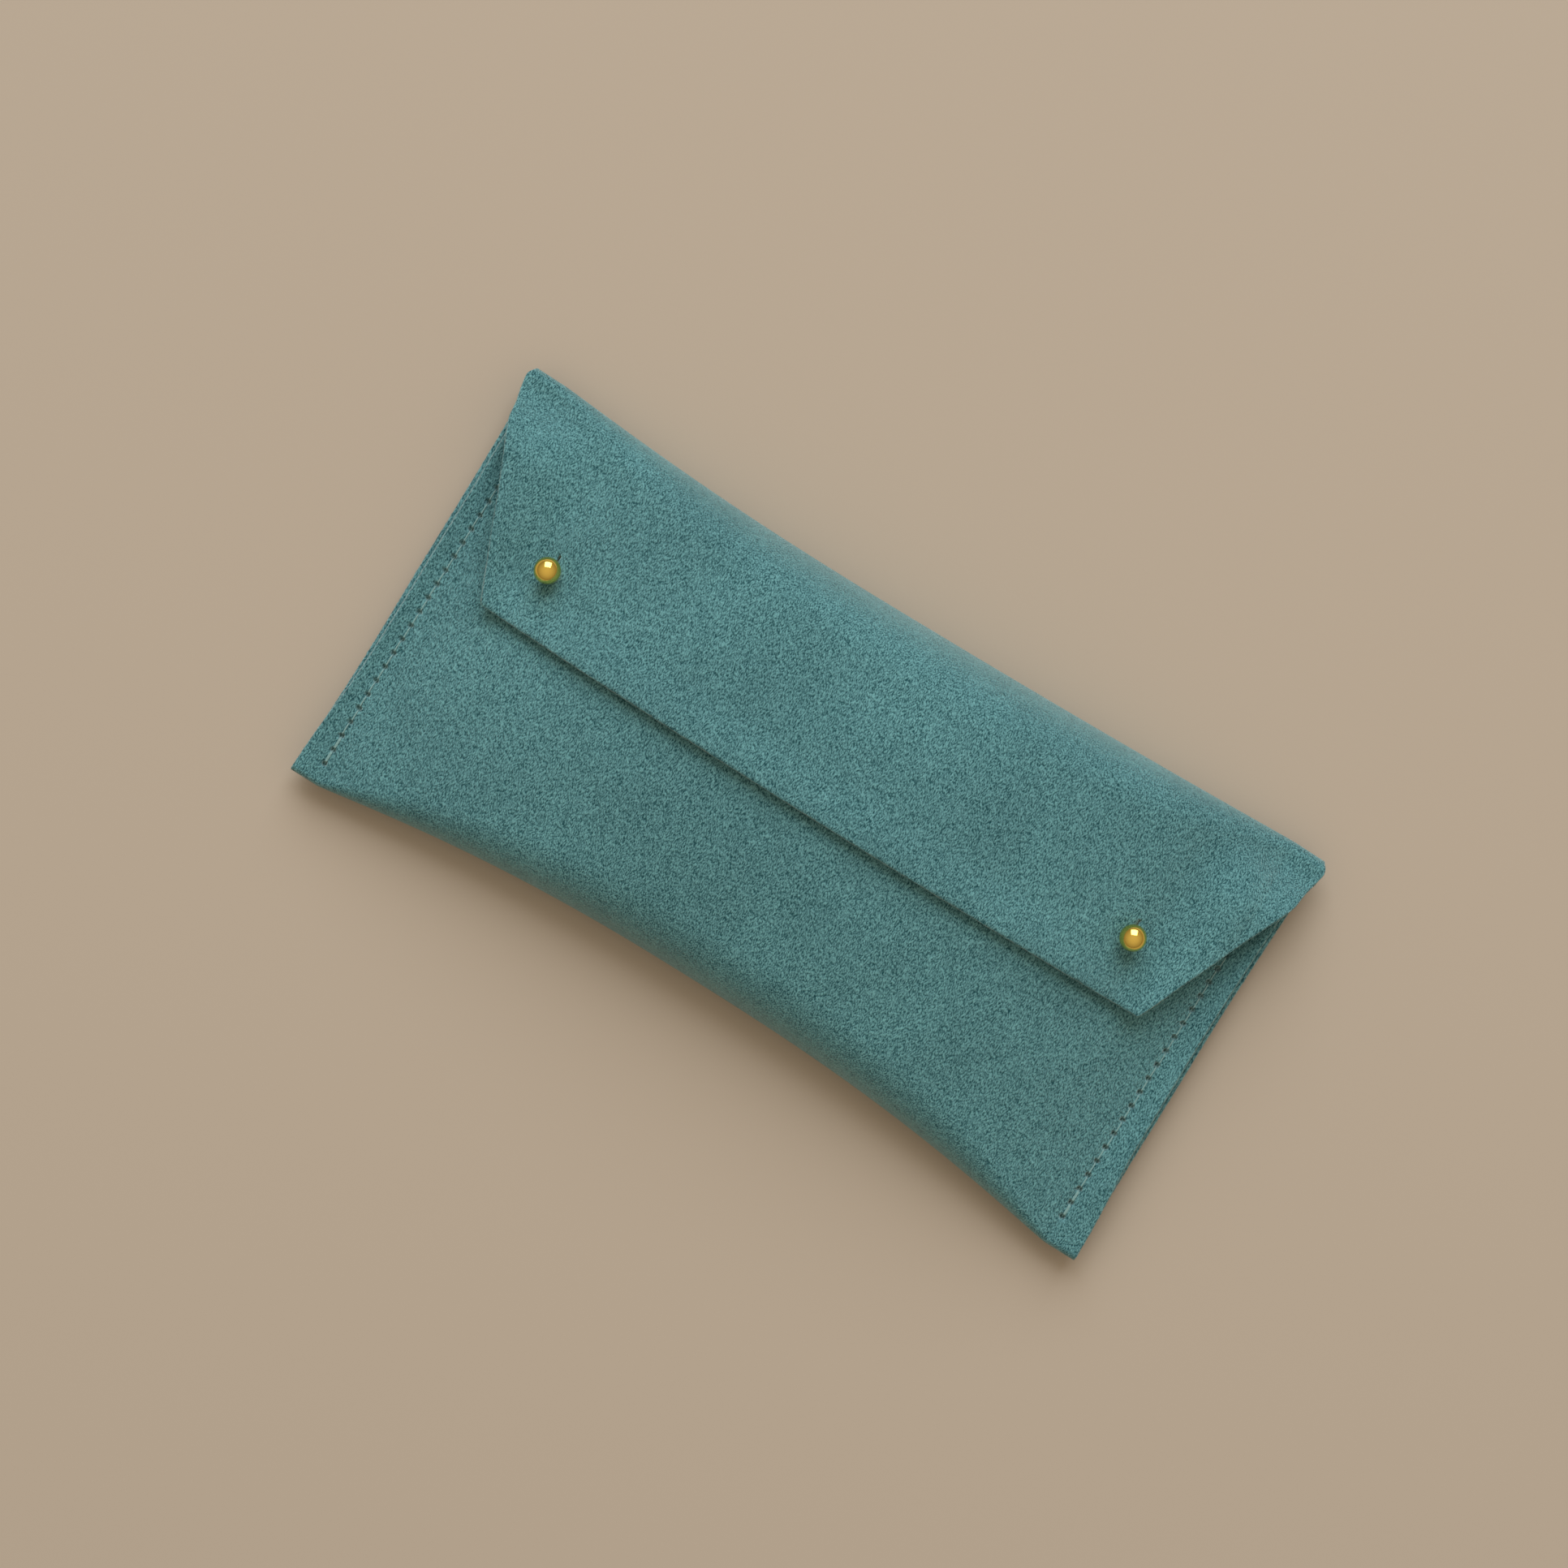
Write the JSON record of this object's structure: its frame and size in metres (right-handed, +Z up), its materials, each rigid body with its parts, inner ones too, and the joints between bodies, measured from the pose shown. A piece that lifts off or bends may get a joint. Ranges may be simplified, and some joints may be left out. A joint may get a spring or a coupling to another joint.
{
  "type": "soft glasses case",
  "caption": "Soft suede pouch for glasses: a folded sheet sewn up both sides, closed by a flap buttoned over ball studs.",
  "frame": {"origin": "on the table, under the middle of the pouch as it lies on its back panel", "axes": "+X along the folds, +Y from the bottom fold to the flap's fold, +Z up through the flap"},
  "size_m": [0.18, 0.09, 0.0222],
  "materials": {
    "suede": "teal suede with a short nap, cut edges left raw",
    "brass": "polished brass, clear and bright",
    "thread": "twisted sewing thread, a little lighter than the suede"
  },
  "bodies": {
    "pouch": {"back_panel": "suede", "front_panel": "suede", "left_stud_head": "brass", "right_stud_head": "brass", "left_stud_screw": "brass", "right_stud_screw": "brass", "left_needle_thread": "thread", "right_needle_thread": "thread", "left_bobbin_thread": "thread", "right_bobbin_thread": "thread"},
    "flap": {"flap": "suede"}
  },
  "joints": [
    {"name": "flap_hinge", "type": "hinge", "parent": "pouch", "child": "flap", "pos_m": [0, 0.045, 0.005], "axis": [-1, 0, 0], "range_deg": [0, 140]}
  ]
}
